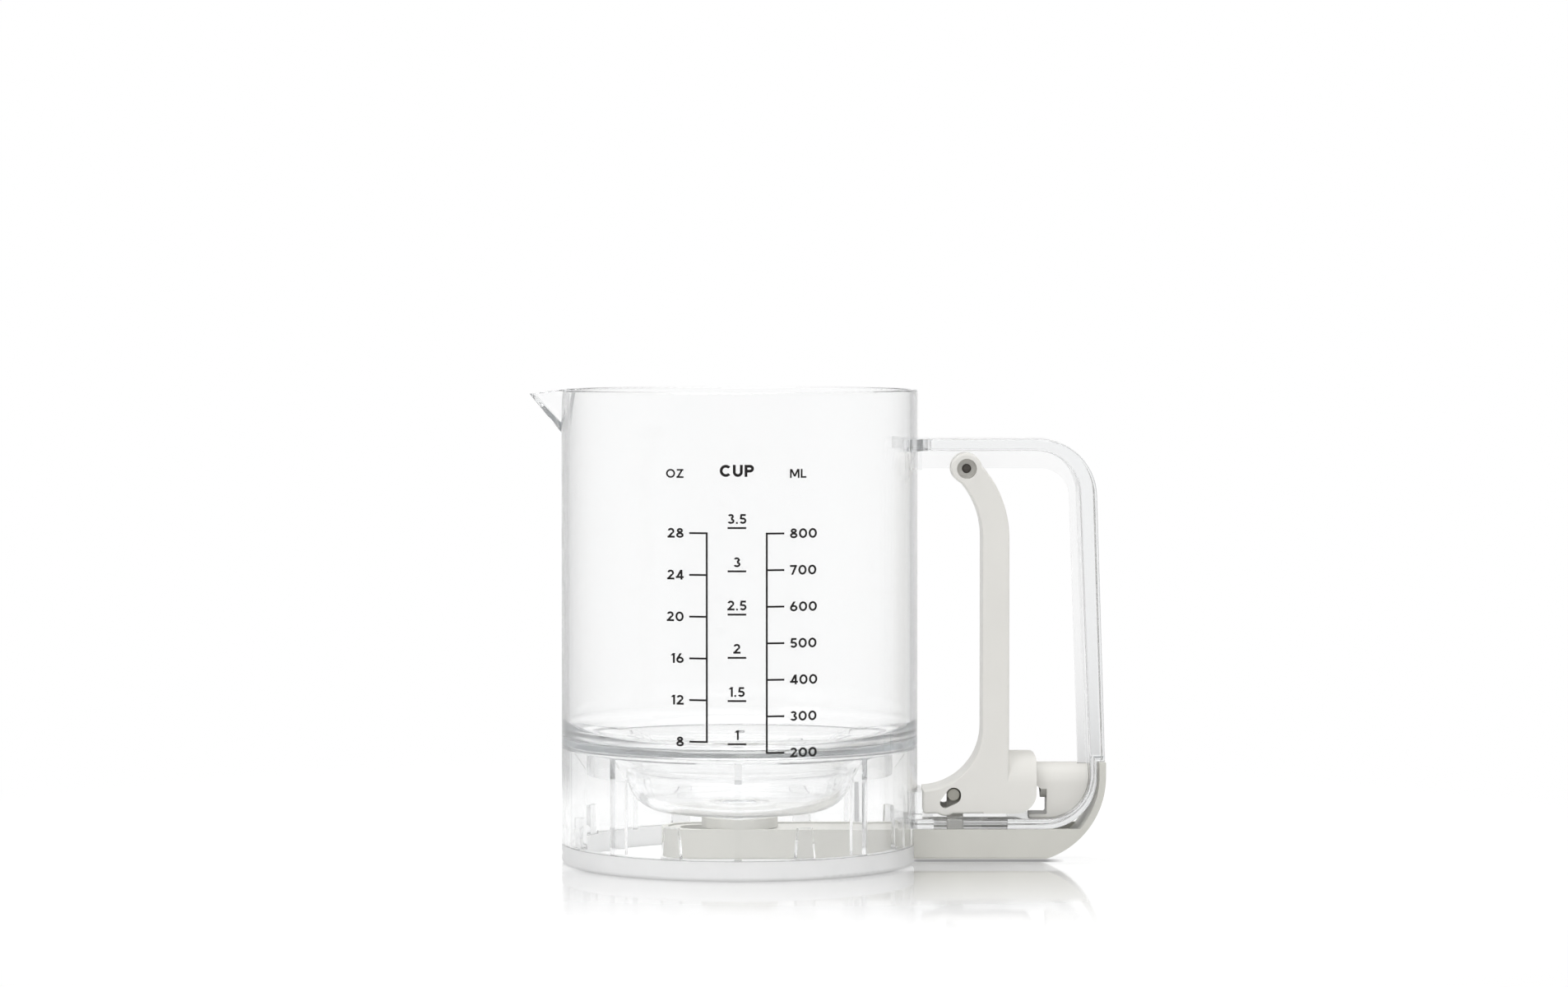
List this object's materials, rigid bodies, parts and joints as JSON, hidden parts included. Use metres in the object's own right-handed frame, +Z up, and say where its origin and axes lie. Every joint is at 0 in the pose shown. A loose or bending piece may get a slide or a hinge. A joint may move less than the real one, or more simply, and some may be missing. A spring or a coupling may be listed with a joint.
{
  "type": "batter shaker",
  "caption": "Clear measuring jug with a pouring spout, a funnel floor and a squeeze lever in its handle that slides a valve gate open under the outlet.",
  "frame": {"origin": "on the jug's axis, on the plane that the foot ring stands on", "axes": "+Z up along the jug's axis, +X from the spout toward the handle"},
  "size_m": [0.18, 0.1114, 0.148],
  "materials": {
    "clear_plastic": "clear moulded copolyester, polished",
    "milky_plastic": "milky translucent plastic",
    "cream_plastic": "warm off-white plastic with a fine satin texture",
    "link_plastic": "warm grey acetal",
    "silicone": "soft translucent silicone",
    "pin_steel": "turned stainless steel",
    "spring_steel": "drawn spring wire"
  },
  "bodies": {
    "jug": {"jug_body": "clear_plastic", "handle": "clear_plastic", "foot_ring": "milky_plastic", "base_cover": "cream_plastic", "spring_housing": "cream_plastic", "pivot_pin": "pin_steel", "valve_seal": "silicone", "return_spring": "spring_steel"},
    "lever": {"lever": "cream_plastic"},
    "gate": {"valve_gate": "cream_plastic", "drive_link": "link_plastic"}
  },
  "joints": [
    {"name": "lever_hinge", "type": "hinge", "parent": "jug", "child": "lever", "pos_m": [0.0708, 0, 0.1234], "axis": [0, -1, 0], "range_deg": [0, 7.2], "stiffness_Nm_per_rad": 3, "springref_deg": -10.89, "deforming": ["return_spring"]},
    {"name": "gate_slide", "type": "slide", "parent": "jug", "child": "gate", "axis": [1, 0, 0], "range_m": [0, 0.0128]}
  ],
  "couplings": [
    {"joint": "gate_slide", "follows": "lever_hinge", "m_per_rad": 0.10175}
  ]
}
